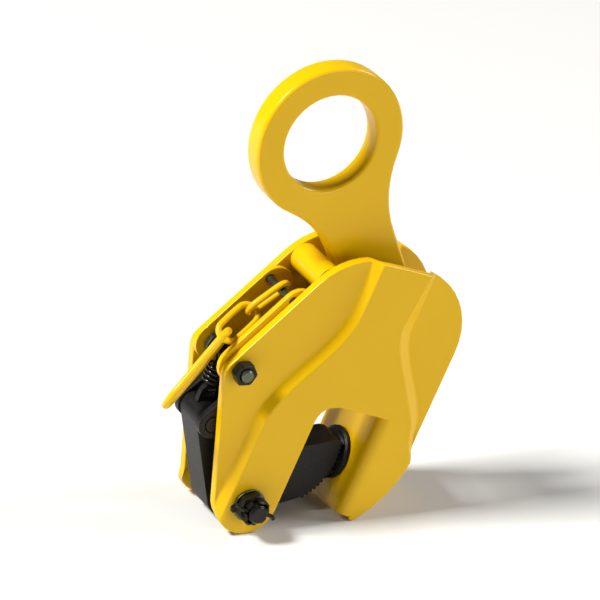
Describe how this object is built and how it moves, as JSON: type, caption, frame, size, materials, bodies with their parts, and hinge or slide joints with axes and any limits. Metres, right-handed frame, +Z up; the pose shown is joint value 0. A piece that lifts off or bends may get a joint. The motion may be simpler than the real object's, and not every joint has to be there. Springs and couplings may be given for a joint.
{
  "type": "plate lifting clamp",
  "caption": "Vertical plate lifting clamp with pressed side plates, a sprung toothed cam, a swivelling jaw pad, a swinging lifting eye and a chain with a pull ring.",
  "frame": {"origin": "centre of the footprint, at the floor that the two legs stand on", "axes": "+Z up, with the clamp leaning on its two legs; +X across the jaw towards the fixed jaw; +Y from the front plate to the rear plate, along the pins"},
  "size_m": [0.1952, 0.0786, 0.2905],
  "materials": {
    "yellow_paint": "semi-gloss",
    "black_steel": "satin",
    "dark_zinc": "satin",
    "spring_steel": "satin"
  },
  "bodies": {
    "body": {"side_plate_front": "yellow_paint", "side_plate_rear": "yellow_paint", "jaw_block": "yellow_paint", "spacer": "yellow_paint", "cheek_front": "yellow_paint", "cheek_rear": "yellow_paint", "anchor_bolt": "black_steel", "anchor_nut": "black_steel", "anchor_lock_nut": "dark_zinc", "chain_pin": "dark_zinc", "cam_pin": "black_steel", "cam_pin_washer": "dark_zinc", "cam_spacer_front": "dark_zinc", "cam_spacer_rear": "dark_zinc", "castle_nut": "black_steel", "split_pin": "black_steel", "closing_spring": "spring_steel"},
    "cam": {"cam": "black_steel"},
    "links": {"link_front": "black_steel", "link_rear": "black_steel", "link_pin": "black_steel"},
    "eye_pin": {"eye_pin": "black_steel", "eye_pin_ring_front": "dark_zinc", "eye_pin_ring_rear": "dark_zinc", "eye_washer_front": "dark_zinc", "eye_washer_rear": "dark_zinc"},
    "lifting_eye": {"lifting_eye": "yellow_paint"},
    "jaw_pad": {"jaw_pad": "black_steel"},
    "chain_link_a": {"chain_link_a": "yellow_paint"},
    "chain_link_b": {"chain_link_b": "yellow_paint"},
    "pull_ring": {"pull_ring": "yellow_paint"}
  },
  "joints": [
    {"name": "cam_open", "type": "hinge", "parent": "body", "child": "cam", "pos_m": [-0.03555, 0.0055, 0.02], "axis": [0, -1, 0], "range_deg": [0, 38], "stiffness_Nm_per_rad": 3, "springref_deg": -57.3, "deforming": ["closing_spring"]},
    {"name": "link_turn", "type": "hinge", "parent": "cam", "child": "links", "pos_m": [-0.05927, 0.0055, 0.06962], "axis": [0, -1, 0], "range_deg": [-52, 0]},
    {"name": "eye_pin_turn", "type": "hinge", "parent": "links", "child": "eye_pin", "pos_m": [0.04399, 0.0055, 0.14876], "axis": [0, -1, 0], "range_deg": [-44, 0]},
    {"name": "eye_swing", "type": "hinge", "parent": "eye_pin", "child": "lifting_eye", "pos_m": [0.04399, 0.0055, 0.14876], "axis": [0, 1, 0], "range_deg": [0, 72]},
    {"name": "pad_swivel", "type": "hinge", "parent": "body", "child": "jaw_pad", "pos_m": [0.03614, 0.0055, 0.032], "axis": [0.9514, 0, -0.308], "continuous": true},
    {"name": "chain_a_swing", "type": "hinge", "parent": "body", "child": "chain_link_a", "pos_m": [-0.01708, 0.0055, 0.14674], "axis": [0, 1, 0], "range_deg": [0, 60]},
    {"name": "chain_b_swing", "type": "hinge", "parent": "chain_link_a", "child": "chain_link_b", "pos_m": [-0.03281, 0.0055, 0.13591], "axis": [0, 1, 0], "range_deg": [0, 30]},
    {"name": "ring_swing", "type": "hinge", "parent": "chain_link_b", "child": "pull_ring", "pos_m": [-0.05197, -0.00127, 0.12513], "axis": [0, 1, 0], "range_deg": [0, 30]}
  ],
  "couplings": [
    {"joint": "link_turn", "follows": "cam_open", "ratio": -1.35},
    {"joint": "eye_pin_turn", "follows": "cam_open", "ratio": -1.15}
  ]
}
